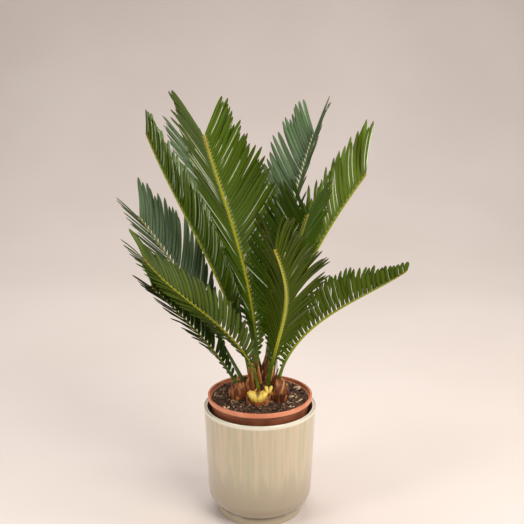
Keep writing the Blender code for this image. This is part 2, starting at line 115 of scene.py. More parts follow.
# Nursery pot
LIP_R = 60.0
LIP_TOP_Z = 144.2
LIP_H = 6.0
POT_WALL_R = 57.0
POT_WALL = 1.2
POT_FOOT_R = 42.0
POT_FLOOR = 1.6
DRAIN_HOLES = 6
DRAIN_R = 3.2
DRAIN_RING_R = 32.0
DRILL_LENGTH = 6.0
LIP_THICKNESS = 2.25
LIP_ROUND_W = 1.12
LIP_ROUND_H = 1.1
LIP_EDGE_R = 0.5
# Inside shoulder of the lip: in from its outside and up from its lower edge
LIP_SHOULDER = (2.4, 1.4)
# Painted shade under the lip fades in downwards between these, from the lip's lower edge, in metres
LIP_SHADE_BAND = (0.0012, -0.0015)

# Soil: each noise of its surface by grain, height and layer
SOIL_TOP = 139.5
SOIL_WAVES = ((11.0, 2.6, 139.5), (3.1, 1.5, 7.0), (1.3, 0.7, 3.0))
SOIL_SLACK = 0.1
SOIL_EDGE_DROP = 0.6
SOIL_RINGS = 50
SOIL_SPOKES = 150
# Crumbs and chips: how many, range of radius, flatness, mean and spread of tone, seed
CRUMBS = (1500, (0.6, 1.7), 0.7, (0.38, 0.22), 11)
CHIPS = (190, (1.8, 4.2), 0.25, (0.68, 0.24), 12)
LITTER_MARGIN = 2.0
PEBBLE_SHAPES = 7
PEBBLE_LUMPS = 0.7
PEBBLE_SEED = 3
# Colours of crumbs, bark and chips by tone
GRIT_TONES = (
    (0.0, (0.014, 0.006, 0.003)), (0.42, (0.052, 0.021, 0.008)), (0.68, (0.14, 0.062, 0.023)),
    (0.86, (0.38, 0.21, 0.09)), (1.0, (0.72, 0.54, 0.33)),
)
# Curled shavings: centre, radius, width, start and sweep in degrees, tone
SHAVINGS = (
    ((42.0, 15.0), 4.6, 3.2, 120, -220, 0.97),
    ((-30.0, -24.0), 3.0, 1.8, 20, 200, 0.82),
    ((15.0, -38.0), 3.4, 1.7, 200, 190, 0.8),
    ((-40.0, 14.0), 3.0, 1.8, 80, 200, 0.8),
    ((12.0, 40.0), 3.2, 1.8, 10, 210, 0.84),
)

# Stem base: swollen bulbs, each x, y, radius in x, radius in y, height above the soil
BULBS = (
    (2.0, 3.0, 22.0, 18.0, 30.0),
    (-2.0, -17.0, 13.0, 13.0, 13.5),
    (21.8, -6.0, 10.5, 12.0, 23.0),
    (-24.0, -1.0, 11.0, 10.0, 17.0),
    (-16.0, 11.0, 12.0, 12.0, 17.0),
    (18.0, 14.0, 12.0, 11.0, 17.0),
    (2.0, 19.0, 14.0, 9.0, 16.0),
)
BULB_DEPTH = 15.0
CORE_INSET = 0.4
CORE_TURNS = 36
CORE_TILTS = 22
# Scales: rows on a bulb, height angles of the lowest and the highest row, spacing as a share of the width
SCALE_ROWS = 6
SCALE_TILTS = (-12, 56)
SCALE_SPACING = 0.56
SCALE_LENGTH = 11.0
SCALE_WIDTH = 8.0
SCALE_T = 0.5
SCALE_SEED = 5
# Dry pointed leaves among the stalks: how many, and turn from one to the next as a share of a circle
CATAPHYLLS = 84
CATAPHYLL_TURN = 0.382

# Fronds: upper face, lower face and midrib colours
YOUNG = ((0.052, 0.11, 0.001), (0.07, 0.138, 0.001), (0.44, 0.42, 0.004))
OLIVE = ((0.044, 0.074, 0.0005), (0.045, 0.076, 0.0005), (0.44, 0.42, 0.003))
PALE = ((0.1, 0.16, 0.024), (0.08, 0.098, 0.001), (0.42, 0.38, 0.006))
BLUE = ((0.088, 0.15, 0.068), (0.098, 0.145, 0.03), (0.2, 0.24, 0.03))
DEEP = ((0.032, 0.078, 0.0005), (0.04, 0.09, 0.0005), (0.24, 0.26, 0.004))
FRESH = ((0.066, 0.125, 0.008), (0.074, 0.13, 0.004), (0.3, 0.32, 0.01))
BRIGHT = ((0.084, 0.15, 0.006), (0.094, 0.155, 0.003), (0.34, 0.38, 0.01))
Frond = namedtuple(
    "Frond",
    "name foot azimuth curl leans length bare leaflet rises sweeps twists last low_pairs arch "
    "colours tones edged gloss",
)
# foot: x, y and height above the soil. azimuth: heading at the foot, 0 along +X, 90 along +Y.
# curl: how far the heading turns by the tip. leans: from upright, at the foot, belly and tip.
# bare: share of the length with no leaflets. leaflet: longest leaflet.
# low_pairs: small curled pairs below the first full one. arch: how far leaflets arch over by their tips.
# edged: share of leaflets with a painted highlight along one edge.
# The others are for the left and the right row. rises: how far leaflets fold up out of the flat, at the
# lowest and the last pair. sweeps: their angle to the midrib, at the same pairs. twists: how far they turn
# about themselves, overlapping like slats. last: share of its full length that the last one keeps.
# tones: what leaflets draw their tone from; a low range paints that row in shade, the draw within is random.
FRONDS = [Frond(f"frond_{number:02}", *values) for number, values in enumerate((
    ((-3, -3, 26.5), 232, 31, (-2, 35, 51), 344, 0.20, 80,
     ((22, 22), (48, 36)), ((44, 36), (38, 28)), (-13, -13), (0.58, 0.8), 9, 8,
     YOUNG, ((0.4, 1.0), (0.05, 0.7)), 0.25, 0.25),
    ((-1, -14, 6.5), 188, -2, (2, 75, 34), 214, 0.24, 44,
     ((-8, 80), (-4, 46)), ((44, 64), (28, 18)), (13, 13), (0.9, 0.9), 3, 14,
     PALE, ((0.0, 0.5), (0.2, 1.0)), 0.12, 0.16),
    ((8, -10, 13.5), 296, -44, (17, 61, 45), 278, 0.22, 66,
     ((25, 74), (55, 60)), ((62, 56), (28, 30)), (-13, -13), (0.75, 0.75), 5, 24,
     OLIVE, ((0.4, 1.0), (0.0, 0.3)), 0.06, 0.06),
    ((8, 0, 25.5), 303, -27, (7, 35, 54), 261, 0.26, 68,
     ((30, 35), (46, 48)), ((48, 54), (28, 42)), (-13, -13), (0.75, 0.75), 5, 8,
     DEEP, ((0.4, 1.0), (0.0, 0.6)), 0.05, 0.06),
    ((14, 7, 20.5), 4, -1, (8, 27, 36), 260, 0.22, 74,
     ((34, 44), (50, 56)), ((52, 58), (34, 46)), (13, 13), (0.95, 0.95), 5, 10,
     BRIGHT, ((0.2, 1.0), (0.2, 1.0)), 0.5, 0.2),
    ((20, -1, 12.5), 349, -14, (7, 72, 52), 215, 0.20, 46,
     ((60, 64), (60, 64)), ((70, 74), (54, 58)), (13, 13), (0.25, 0.25), 3, 4,
     BRIGHT, ((0.1, 0.9), (0.1, 0.9)), 0.3, 0.15),
    ((-20, 9, 15.5), 168, -1, (27, 33, 38), 226, 0.34, 70,
     ((6, 44), (6, 44)), ((54, 50), (30, 32)), (13, 13), (0.55, 0.75), 5, 8,
     BLUE, ((0.0, 0.5), (0.4, 1.0)), 0.3, 0.3),
    ((6, 11, 24.5), 62, 3, (12, 26, 45), 300, 0.24, 74,
     ((32, 60), (32, 60)), ((54, 54), (34, 34)), (-13, -13), (0.75, 0.75), 5, 8,
     BLUE, ((0.2, 1.0), (0.0, 0.6)), 0.28, 0.25),
    ((-11, 4, 22.5), 172, 2, (9, 37, 21), 302, 0.24, 60,
     ((56, 44), (58, 44)), ((44, 46), (30, 28)), (-13, 13), (0.55, 0.55), 5, 8,
     FRESH, ((0.0, 0.8), (0.2, 1.0)), 0.4, 0.25),
    ((-4, 11, 24.5), 127, -13, (6, 56, 46), 314, 0.24, 66,
     ((36, 35), (24, 35)), ((56, 50), (30, 18)), (13, 13), (0.75, 0.75), 5, 8,
     BLUE, ((0.2, 1.0), (0.2, 1.0)), 0.3, 0.25),
    ((-24, -2, 11.5), 176, 2, (29, 45, 44), 156, 0.22, 46,
     ((10, 40), (0, 40)), ((58, 58), (28, 28)), (13, 13), (0.75, 0.75), 5, 8,
     DEEP, ((0.1, 0.9), (0.1, 0.9)), 0.25, 0.2),
), start=1)]
PATH_STEPS = 48
MIDRIB_RINGS = 64
MIDRIB_SIDES = 12
MIDRIB_CHANNEL = 0.3
ROOT_LENGTH = 9.0
MIDRIB_RADII = ((0.0, 2.9), (0.06, 2.3), (0.14, 1.7), (0.5, 1.15), (1.0, 0.7))
PITCH = 5.8
FIRST_LEAFLET = 0.45
LEAFLET_MID = 0.68
LEAFLET_W = 5.0
LEAFLET_T = 0.8
LEAFLET_BEND = 7.0
CLEARANCE = 0.45
# Turns tried in order on a leaflet in another frond's way, in rise and sweep, then shares of its length
TURNS = (
    (0, 0), (7, 0), (-7, 0), (0, 9), (0, -9), (14, 0), (-14, 0), (12, 10), (-12, 10), (12, -10), (-12, -10),
    (22, 0), (-22, 0), (22, 14), (-22, 14), (22, -14), (-22, -14), (34, 0), (-34, 0), (48, 0), (-48, 0),
)
SHORTENED = (1.0, 0.76, 0.56, 0.4)
# Fleshy yellow hearts at two feet: centre x, y and height above the soil, then three radii
HEARTS = {
    "frond_02": (((-2.4, -23.0, 7.4), (15.0, 8.5, 7.6)),),
    "frond_03": (((10.0, -16.0, 13.5), (6.2, 5.0, 5.0)),),
}
# Leaflet outline: share of the length, share of the width
OUTLINE = (
    (0.0, 0.42), (0.025, 0.46), (0.07, 0.7), (0.14, 0.9), (0.28, 1.0), (0.45, 1.0), (0.62, 0.99),
    (0.76, 0.94), (0.86, 0.82), (0.93, 0.6), (0.975, 0.32), (1.0, 0.05),
)
# Leaflet section: share of the half width, height as a share of the width, 1 on the upper face
SECTION = (
    (-1.0, -0.16, 1.0), (-0.84, -0.045, 1.0), (-0.42, 0.035, 1.0), (0.0, -0.02, 1.0), (0.42, 0.035, 1.0),
    (0.84, -0.045, 1.0), (1.0, -0.16, 1.0), (0.82, -0.135, 0.0), (0.4, -0.065, 0.0), (0.0, -0.16, 0.0),
    (-0.4, -0.065, 0.0), (-0.82, -0.135, 0.0),
)
# Share of leaflets that stand out of line
STRAYS = 0.07
# s: share of the midrib. side: 1 left, -1 right. rise and sweep: in radians. width: share of the full width.
Leaflet = namedtuple("Leaflet", "s side length rise sweep width curl tone wring")


class Nodes:
    """Short calls for building a material's node tree."""

    def __init__(self, name):
        self.material = bpy.data.materials.new(name)
        self.material.use_nodes = True
        self.tree = self.material.node_tree
        self.shader = self.tree.nodes["Principled BSDF"]

    def add(self, kind, **settings):
        """A node with its properties set."""
        made = self.tree.nodes.new(kind)
        for key, value in settings.items():
            setattr(made, key, value)
        return made

    def feed(self, socket, value):
        """Link a socket into another, or set its constant."""
        if isinstance(value, bpy.types.NodeSocket):
            self.tree.links.new(value, socket)
        else:
            socket.default_value = (*value, 1.0) if isinstance(value, tuple) and len(value) == 3 else value

    def fed(self, kind, values, **settings):
        """The first output of a node whose first sockets take the values."""
        made = self.add(kind, **settings)
        for socket, value in zip(made.inputs, values):
            self.feed(socket, value)
        return made.outputs[0]

    def stored(self, *names):
        """The numbers stored on the mesh under some names."""
        return [self.add("ShaderNodeAttribute", attribute_name=name).outputs["Fac"] for name in names]

    def math(self, operation, *numbers):
        """One sum on a number or two."""
        return self.fed("ShaderNodeMath", numbers, operation=operation)

    def times(self, first, second):
        """The product of two numbers."""
        return self.math("MULTIPLY", first, second)

    def mix(self, share, first, second):
        """A blend of two colours."""
        made = self.add("ShaderNodeMix", data_type="RGBA")
        self.feed(made.inputs["Factor"], share)
        self.feed(made.inputs[6], first)
        self.feed(made.inputs[7], second)
        return made.outputs[2]

    def span(self, value, low, high, to_low=0.0, to_high=1.0):
        """A number carried from one range to another, held at its ends."""
        numbers = (value, low, high, to_low, to_high)
        return self.fed("ShaderNodeMapRange", numbers, interpolation_type="SMOOTHSTEP")

    def layer(self, under, over, value, low, high, most=1.0):
        """A colour that covers another as a number goes from low to high."""
        return self.mix(self.span(value, low, high, 0.0, most), under, over)

    def join(self, *numbers):
        """A vector from three numbers."""
        return self.fed("ShaderNodeCombineXYZ", numbers)

    def noise(self, scale, detail, stretch=(1, 1, 1), vector=None):
        """Noise in repeats a metre in object space, or along a vector, stretched along the axes."""
        place = self.add("ShaderNodeMapping")
        place.inputs["Scale"].default_value = stretch
        self.feed(place.inputs["Vector"], vector or self.add("ShaderNodeTexCoord").outputs["Object"])
        made = self.add("ShaderNodeTexNoise")
        made.inputs["Scale"].default_value = scale
        made.inputs["Detail"].default_value = detail
        self.feed(made.inputs["Vector"], place.outputs[0])
        return made.outputs["Fac"]

    def fibres(self, detail, *numbers):
        """Noise by three of the mesh's numbers, each with its repeats."""
        return self.noise(1.0, detail, vector=self.join(*(self.times(*number) for number in numbers)))

    def bump(self, height, distance, strength):
        """Surface relief of a depth in metres."""
        made = self.add("ShaderNodeBump")
        made.inputs["Strength"].default_value = strength
        made.inputs["Distance"].default_value = distance
        self.feed(made.inputs["Height"], height)
        self.feed(self.shader.inputs["Normal"], made.outputs[0])

    def set(self, **values):
        """Feed the shader's sockets, named with _ for spaces, and return the material."""
        for key, value in values.items():
            self.feed(self.shader.inputs[key.replace("_", " ")], value)
        return self.material


def object_height(mat):
    """Height in object space, in metres."""
    split = mat.add("ShaderNodeSeparateXYZ")
    mat.feed(split.inputs[0], mat.add("ShaderNodeTexCoord").outputs["Object"])
    return split.outputs[2]


def scaled(colour, by):
    """A colour made lighter or darker."""
    return tuple(by * c for c in colour)


def halfway(first, second):
    """The colour midway between two."""
    return tuple(0.5 * (a + b) for a, b in zip(first, second))


def held(value):
    """A number held between 0 and 1."""
    return min(max(value, 0.0), 1.0)


def glaze():
    """Greige gloss glaze: cream rim, painted reflection streaks that end at differing heights, darker towards
    the foot.
    """
    mat = Nodes("greige glaze")
    height = object_height(mat)
    # Vertical streaks of tone: painted reflection of the lights and surroundings in the gloss
    reflection_streaks = mat.noise(230, 3, (1, 1, 0.02))
    cloud = mat.noise(16, 2, (1, 1, 0.6))
    wander = mat.span(mat.noise(90, 3, (1, 1, 0.02)), 0.3, 0.7, -GLAZE_STREAKS_SHIFT, GLAZE_STREAKS_SHIFT)
    body = mat.layer((0.45, 0.4, 0.25), (0.58, 0.46, 0.32), reflection_streaks, 0.36, 0.62)
    body = mat.layer(body, (0.52, 0.43, 0.3), cloud, 0.3, 0.7, 0.6)
    body = mat.layer((0.47, 0.4, 0.28), body, mat.math("ADD", height, wander), *GLAZE_STREAKS_END)
    body = mat.layer((0.36, 0.29, 0.2), body, height, *GLAZE_LOW)
    body = mat.layer(body, (0.74, 0.69, 0.55), height, *GLAZE_RIM)
    body = mat.layer((0.4, 0.33, 0.22), body, height, *GLAZE_FOOT)
    mat.bump(mat.noise(45, 2, (1, 1, 0.3)), 0.0003, 0.35)
    rough = mat.span(cloud, 0.2, 0.8, 0.16, 0.24)
    return mat.set(Base_Color=body, Roughness=rough, Coat_Weight=0.6, Coat_Roughness=0.06)


def terracotta_plastic():
    """Satin plastic of a nursery pot, lightly scuffed, with painted shade below its lip."""
    mat = Nodes("terracotta plastic")
    cloud = mat.noise(70, 4)
    colour = mat.layer((0.6, 0.19, 0.085), (0.74, 0.29, 0.15), cloud, 0.3, 0.75)
    lip = (LIP_TOP_Z - LIP_H) * MM
    below = mat.span(object_height(mat), *[lip + z for z in LIP_SHADE_BAND])
    # A dark band below the lip: painted shade of the lip's overhang
    lip_shade = mat.layer((0.13, 0.035, 0.014), (0.24, 0.07, 0.028), cloud, 0.3, 0.7)
    colour = mat.mix(mat.times(below, 0.9), colour, lip_shade)
    colour = mat.layer(colour, (0.26, 0.14, 0.08), mat.noise(420, 5), 0.6, 0.72, 0.3)
    mat.bump(mat.noise(900, 2), 0.0001, 0.25)
    return mat.set(Base_Color=colour, Roughness=mat.span(cloud, 0.2, 0.8, 0.3, 0.46))


def potting_soil():
    """Dark damp soil, coarse and matt."""
    mat = Nodes("potting soil")
    coarse = mat.noise(320, 6)
    fine = mat.noise(1200, 4)
    colour = mat.layer((0.018, 0.008, 0.004), (0.1, 0.044, 0.018), coarse, 0.36, 0.66)
    colour = mat.layer(colour, (0.2, 0.1, 0.042), fine, 0.58, 0.7)
    mat.bump(fine, 0.0008, 0.9)
    return mat.set(Base_Color=colour, Roughness=0.93)


def grit():
    """Crumbs, bark and wood chips from near black to cream, by the tone on each."""
    mat = Nodes("soil crumbs")
    ramp = mat.add("ShaderNodeValToRGB")
    stops = ramp.color_ramp.elements
    stops.remove(stops[0])
    stops[0].position = GRIT_TONES[0][0]
    for place, _ in GRIT_TONES[1:]:
        stops.new(place)
    for stop, (_, colour) in zip(stops, GRIT_TONES):
        stop.color = (*colour, 1)
    mat.feed(ramp.inputs[0], mat.stored("tone")[0])
    fine = mat.noise(1400, 4)
    colour = mat.layer(ramp.outputs[0], (0.02, 0.013, 0.009), fine, 0.4, 0.75, 0.5)
    mat.bump(fine, 0.0005, 0.8)
    return mat.set(Base_Color=colour, Roughness=0.86)


def scale_material():
    """Papery red-brown scales, paler at the edges, with lengthwise fibres."""
    mat = Nodes("stem scales")
    along, across, tone = mat.stored("along", "across", "tone")
    fibres = mat.fibres(5, (across, 7.0), (along, 1.2), (tone, 40.0))
    body = mat.layer((0.07, 0.018, 0.007), (0.38, 0.1, 0.02), tone, 0.05, 0.6)
    body = mat.layer(body, (0.66, 0.27, 0.05), tone, 0.6, 1.0)
    body = mat.layer(body, (0.1, 0.026, 0.01), fibres, 0.4, 0.64, 0.75)
    pale = mat.times(mat.span(along, 0.3, 0.95), mat.span(tone, 0.35, 0.9))
    body = mat.mix(mat.times(pale, 0.55), body, (0.76, 0.36, 0.07))
    edge = mat.times(mat.span(mat.math("ABSOLUTE", across), 0.66, 1.0), mat.span(tone, 0.3, 0.75))
    body = mat.mix(mat.times(edge, mat.span(fibres, 0.3, 0.55, 0.1, 0.8)), body, (0.84, 0.6, 0.26))
    mat.bump(fibres, 0.0005, 0.9)
    rough = mat.span(fibres, 0.3, 0.7, 0.3, 0.6)
    return mat.set(Base_Color=body, Roughness=rough, Specular_IOR_Level=0.35)


def bulb_material():
    """Brown woolly tissue between the scales."""
    mat = Nodes("stem tissue")
    wool = mat.noise(420, 6, (1, 1, 0.2))
    colour = mat.layer((0.05, 0.018, 0.009), (0.34, 0.13, 0.045), wool, 0.35, 0.66)
    mat.bump(wool, 0.0012, 1.0)
    return mat.set(Base_Color=colour, Roughness=0.8)


def leaf_material(frond):
    """Leathery leaflet: deeper above, yellower below, with painted shade at its margins and a painted
    highlight along one edge of some.
    """
    upper, lower, rib = frond.colours
    mat = Nodes(f"leaflet {frond.name}")
    along, across, face, tone = mat.stored("along", "across", "face", "tone")
    wide = mat.math("ABSOLUTE", across)
    lines = mat.fibres(4, (across, 4.0), (along, 1.5), (tone, 60.0))
    # A shaded copy of the colour: low tones blend towards it, at random and as painted shade on a row given a
    # low range
    dark = mat.mix(face, scaled(lower, 0.4), scaled(upper, 0.38))
    body = mat.mix(tone, dark, mat.mix(face, lower, upper))
    body = mat.layer(body, scaled(lower, 1.5), lines, 0.35, 0.7, 0.4)
    body = mat.mix(mat.times(mat.span(wide, 0.2, 0.05), 0.3), body, halfway(lower, rib))
    # Painted shade along the margins, for the shadowed gaps between leaflets
    body = mat.layer(body, scaled(lower, 0.25), wide, 0.7, 1.0, 0.6)
    # Painted highlight: a thin pale line along the uncovered margin of some leaflets, for the glints on their
    # rolled edges
    glinted = mat.span(mat.math("FRACT", mat.times(tone, 7.31)), 1 - frond.edged, 1.02 - frond.edged)
    reach = mat.times(mat.span(along, 0.08, 0.3), mat.span(along, 0.97, 0.8))
    glint_side = mat.times(across, copysign(1.0, frond.twists[0]))
    edge = mat.times(mat.span(glint_side, 0.56, 0.74), mat.times(glinted, reach))
    body = mat.mix(mat.times(edge, 0.9), body, (0.6, 0.68, 0.46))
    body = mat.layer(body, (0.42, 0.46, 0.12), along, 0.075, 0.0, 0.9)
    body = mat.layer(body, (0.12, 0.085, 0.02), along, 0.94, 0.99)
    mat.bump(lines, 0.00012, 0.5)
    rough = mat.span(lines, 0.3, 0.7, 0.32, 0.44)
    return mat.set(Base_Color=body, Roughness=rough, Specular_IOR_Level=frond.gloss)


def rib_material(frond):
    """Midrib: fleshy at the foot, green stalk, then golden to orange-brown at the tip."""
    _, lower, rib = frond.colours
    mat = Nodes(f"midrib {frond.name}")
    along = mat.stored("along")[0]
    streak = mat.noise(300, 4, (1, 1, 0.2))
    stalk = mat.layer(scaled(lower, 0.8), scaled(lower, 1.6), streak, 0.35, 0.7)
    body = mat.mix(mat.span(along, 0.1, 0.34), stalk, rib)
    body = mat.mix(mat.span(along, 0.88, 1.0), body, halfway(rib, (0.5, 0.16, 0.01)))
    body = mat.layer(body, (0.12, 0.09, 0.012), along, 0.03, 0.0, 0.7)
    mat.bump(streak, 0.0002, 0.4)
    return mat.set(Base_Color=body, Roughness=0.38, Specular_IOR_Level=0.35)


def heart_material():
    """Fleshy yellow tissue at a stalk's foot, with painted shade in its crease, and rusty where the scales
    grip it.
    """
    mat = Nodes("fleshy foot")
    deep, crease = mat.stored("along", "across")
    cloud = mat.noise(260, 5, (1, 1, 0.35))
    body = mat.layer((0.6, 0.36, 0.03), (0.84, 0.64, 0.13), cloud, 0.3, 0.7)
    body = mat.layer(body, (0.36, 0.1, 0.012), deep, 0.5, 0.15, 0.95)
    # Painted shade in the crease where the stalk enters
    body = mat.layer(body, (0.12, 0.07, 0.01), crease, 0.25, 0.8, 0.9)
    body = mat.layer(body, (0.4, 0.15, 0.02), cloud, 0.6, 0.7, 0.6)
    mat.bump(cloud, 0.0005, 0.6)
    return mat.set(Base_Color=body, Roughness=0.38)


class Heap:
    """Closed forms gathered for one piece: points in millimetres, faces, and numbers stored on the points."""

    def __init__(self, *keys):
        self.points, self.faces, self.mats = [], [], []
        self.numbers = {key: [] for key in keys}

    def put(self, points, faces, mat=0, **numbers):
        """Add a form. A number is one for all its points, or a list with one for each."""
        start = len(self.points)
        self.points += points
        self.faces += [tuple(start + k for k in face) for face in faces]
        self.mats += [mat] * len(faces)
        for key, values in numbers.items():
            self.numbers[key] += values if isinstance(values, list) else [values] * len(points)


def stand(name, data):
    """A new object in the scene."""
    obj = bpy.data.objects.new(name, data)
    bpy.context.scene.collection.objects.link(obj)
    return obj


def declare(obj):
    """A piece that rides on the root body."""
    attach(obj, "root")
    return obj


def piece(name, heap, mats):
    """A smooth-shaded piece from a heap of forms."""
    mesh = bpy.data.meshes.new(name)
    mesh.from_pydata([Vector(p) * MM for p in heap.points], [], heap.faces)
    for mat in mats:
        mesh.materials.append(mat)
    for key, values in heap.numbers.items():
        mesh.attributes.new(key, "FLOAT", "POINT").data.foreach_set("value", values)
    if any(heap.mats):
        mesh.polygons.foreach_set("material_index", heap.mats)
    mesh.shade_smooth()
    return declare(stand(name, mesh))


def settle(obj):
    """Apply the object's modifiers to its mesh."""
    graph = bpy.context.evaluated_depsgraph_get()
    mesh = bpy.data.meshes.new_from_object(obj.evaluated_get(graph))
    obj.modifiers.clear()
    obj.data = mesh


def turned(name, profile, mat):
    """A round piece from a profile that runs up the inside and down the outside."""
    edges = [(i, i + 1) for i in range(len(profile) - 1)]
    mesh = bpy.data.meshes.new(name)
    mesh.from_pydata([(r * MM, 0.0, z * MM) for r, z in profile], edges, [])
    obj = stand(name, mesh)
    screw = obj.modifiers.new("turn", "SCREW")
    screw.steps = screw.render_steps = TURN_STEPS
    screw.use_merge_vertices = True
    screw.merge_threshold = 0.00001
    settle(obj)
    obj.data.materials.append(mat)
    obj.data.shade_smooth()
    obj.data.set_sharp_from_angle(angle=radians(SHARP_ANGLE))
    return declare(obj)


def ring_quads(rings, sides, first=0, inward=False):
    """Quads between rings of points, the first of which starts at a place in the list."""
    quads = []
    for a in range(first, first + (rings - 1) * sides, sides):
        b = a + sides
        for k in range(sides):
            after = (k + 1) % sides
            outer = (a + k, a + after, b + after, b + k)
            quads.append((a + k, b + k, b + after, a + after) if inward else outer)
    return quads


def sheet_faces(columns, rows):
    """Faces of a closed thin sheet whose front points come first and back points second."""
    wide = columns + 1
    count = wide * (rows + 1)
    faces = []
    for j in range(rows):
        for i in range(columns):
            a = j * wide + i
            b = a + wide
            faces.append((a, a + 1, b + 1, b))
            faces.append((count + a, count + b, count + b + 1, count + a + 1))
    rim = [(i, i + 1) for i in range(columns)]
    rim += [(columns + j * wide, columns + (j + 1) * wide) for j in range(rows)]
    rim += [(rows * wide + i + 1, rows * wide + i) for i in range(columns)]
    rim += [((j + 1) * wide, j * wide) for j in range(rows)]
    return faces + [(b, a, count + a, count + b) for a, b in rim]


def sheet(columns, rows, pair):
    """A closed thin sheet from its front and back point at each share across, -1 to 1, and along, 0 to 1."""
    spots = [(2 * i / columns - 1, j / rows) for j in range(rows + 1) for i in range(columns + 1)]
    pairs = [pair(*spot) for spot in spots]
    points = [front for front, _ in pairs] + [back for _, back in pairs]
    across, along = (list(shares) * 2 for shares in zip(*spots))
    return points, sheet_faces(columns, rows), {"along": along, "across": across}


def rounding(centre_r, centre_z, width, height, start, end, count):
    """Points on an ellipse, by angle below the horizontal."""
    angles = [radians(start + (end - start) * i / (count - 1)) for i in range(count)]
    return [(centre_r + width * cos(a), centre_z - height * sin(a)) for a in angles]


def cover_pot():
    """The glazed pot with a soft rim, a rounded bottom and a groove above its foot."""
    bend_z = COVER_FOOT_H + COVER_ROUND_H
    centre_r = COVER_LOW_R - COVER_ROUND_W
    foot_angle = degrees(acos((COVER_FOOT_R + COVER_ROUND_END - centre_r) / COVER_ROUND_W))
    outside = rounding(centre_r, bend_z, COVER_ROUND_W, COVER_ROUND_H, 0, foot_angle, 18)
    groove_z = outside[-1][1]
    inner_r = COVER_LOW_R - COVER_WALL - COVER_INNER_ROUND_W
    half = COVER_WALL / 2
    edge = COVER_FOOT_EDGE
    profile = [(0, COVER_FLOOR_Z)]
    profile += rounding(inner_r, bend_z, COVER_INNER_ROUND_W, bend_z - COVER_FLOOR_Z, 90, 0, 12)
    profile += rounding(COVER_RIM_R - half, COVER_RIM_Z - half, half, half, -180, -360, 15)
    profile += outside
    profile += [(COVER_FOOT_R - inward, groove_z - down) for inward, down in COVER_GROOVE]
    profile += rounding(COVER_FOOT_R - edge, edge, edge, edge, 0, 90, 5) + [(0, 0)]
    pot = turned("cover_pot_glazed", profile, glaze())
    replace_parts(pot, "cover_pot")


def nursery_inner_r(z):
    """Radius of the nursery pot's inside at a height."""
    top = LIP_TOP_Z - LIP_H
    bottom = COVER_FLOOR_Z + GAP
    share = (z - bottom) / (top - bottom)
    return POT_FOOT_R + (POT_WALL_R - POT_FOOT_R) * min(share, 1.0) - POT_WALL


def drain_drills(z):
    """A collection of upright cylinders, one through each drain hole, at a height."""
    drills = bpy.data.collections.new("drain drills")
    bpy.context.scene.collection.children.link(drills)
    radius = DRAIN_R * MM
    for i in range(DRAIN_HOLES):
        angle = tau * i / DRAIN_HOLES
        mesh = bpy.data.meshes.new("drill")
        bm = bmesh.new()
        bmesh.ops.create_cone(
            bm, cap_ends=True, segments=20, radius1=radius, radius2=radius, depth=DRILL_LENGTH * MM
        )
        bm.to_mesh(mesh)
        bm.free()
        drill = bpy.data.objects.new("drill", mesh)
        drill.location = Vector((DRAIN_RING_R * cos(angle), DRAIN_RING_R * sin(angle), z)) * MM
        drills.objects.link(drill)
    return drills


def nursery_pot():
    """The thin plastic pot with a rolled lip and drain holes."""
    bottom = COVER_FLOOR_Z + GAP
    lip = LIP_TOP_Z - LIP_H
    floor = bottom + POT_FLOOR
    round_z = LIP_TOP_Z - LIP_ROUND_H
    edge = LIP_EDGE_R
    profile = [(0, floor), (nursery_inner_r(floor), floor), (nursery_inner_r(lip), lip)]
    profile += [(LIP_R - LIP_SHOULDER[0], lip + LIP_SHOULDER[1]), (LIP_R - LIP_THICKNESS, round_z)]
    profile += rounding(LIP_R - LIP_ROUND_W, round_z, LIP_ROUND_W, LIP_ROUND_H, -180, -360, 11)
    profile += rounding(LIP_R - edge, lip + edge, edge, edge, 0, 90, 4)
    profile += [(POT_WALL_R, lip), (POT_FOOT_R, bottom), (0, bottom)]
    pot = turned("nursery_pot_fine", profile, terracotta_plastic())
    drills = drain_drills(bottom + POT_FLOOR / 2)
    cut = pot.modifiers.new("drain holes", "BOOLEAN")
    cut.operation = "DIFFERENCE"
    cut.operand_type = "COLLECTION"
    cut.collection = drills
    settle(pot)
    for drill in list(drills.objects):
        bpy.data.objects.remove(drill)
    bpy.data.collections.remove(drills)
    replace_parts(pot, "nursery_pot")


def soil_height(x, y):
    """Height of the soil's surface, lumps and crumbs included."""
    waves = [rise * noise.noise(Vector((x, y, layer)) / grain) for grain, rise, layer in SOIL_WAVES]
    return SOIL_TOP + sum(waves)


def soil():
    """Potting soil with a crumbled surface that fills the nursery pot: returns its radius at the top."""
    floor = COVER_FLOOR_Z + POT_FLOOR + 2 * GAP
    edge = nursery_inner_r(SOIL_TOP) - GAP - SOIL_SLACK
    low_edge = nursery_inner_r(floor) - GAP - SOIL_SLACK
    spokes = [(cos(a), sin(a)) for a in [tau * k / SOIL_SPOKES for k in range(SOIL_SPOKES)]]
    points = [(0.0, 0.0, soil_height(0, 0))]
    for ring in range(1, SOIL_RINGS + 1):
        radius = edge * ring / SOIL_RINGS
        drop = SOIL_EDGE_DROP if ring == SOIL_RINGS else 0.0
        points += [(radius * c, radius * s, soil_height(radius * c, radius * s) - drop) for c, s in spokes]
    points += [(low_edge * c, low_edge * s, floor) for c, s in spokes]
    points.append((0.0, 0.0, floor))
    faces = ring_quads(SOIL_RINGS + 1, SOIL_SPOKES, 1, inward=True)
    last = 1 + SOIL_RINGS * SOIL_SPOKES
    for k in range(SOIL_SPOKES):
        after = (k + 1) % SOIL_SPOKES
        faces += [(0, 1 + k, 1 + after), (last + after, last + k, len(points) - 1)]
    heap = Heap()
    heap.put(points, faces)
    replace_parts(piece("soil_fill", heap, [potting_soil()]), "soil")
    return edge


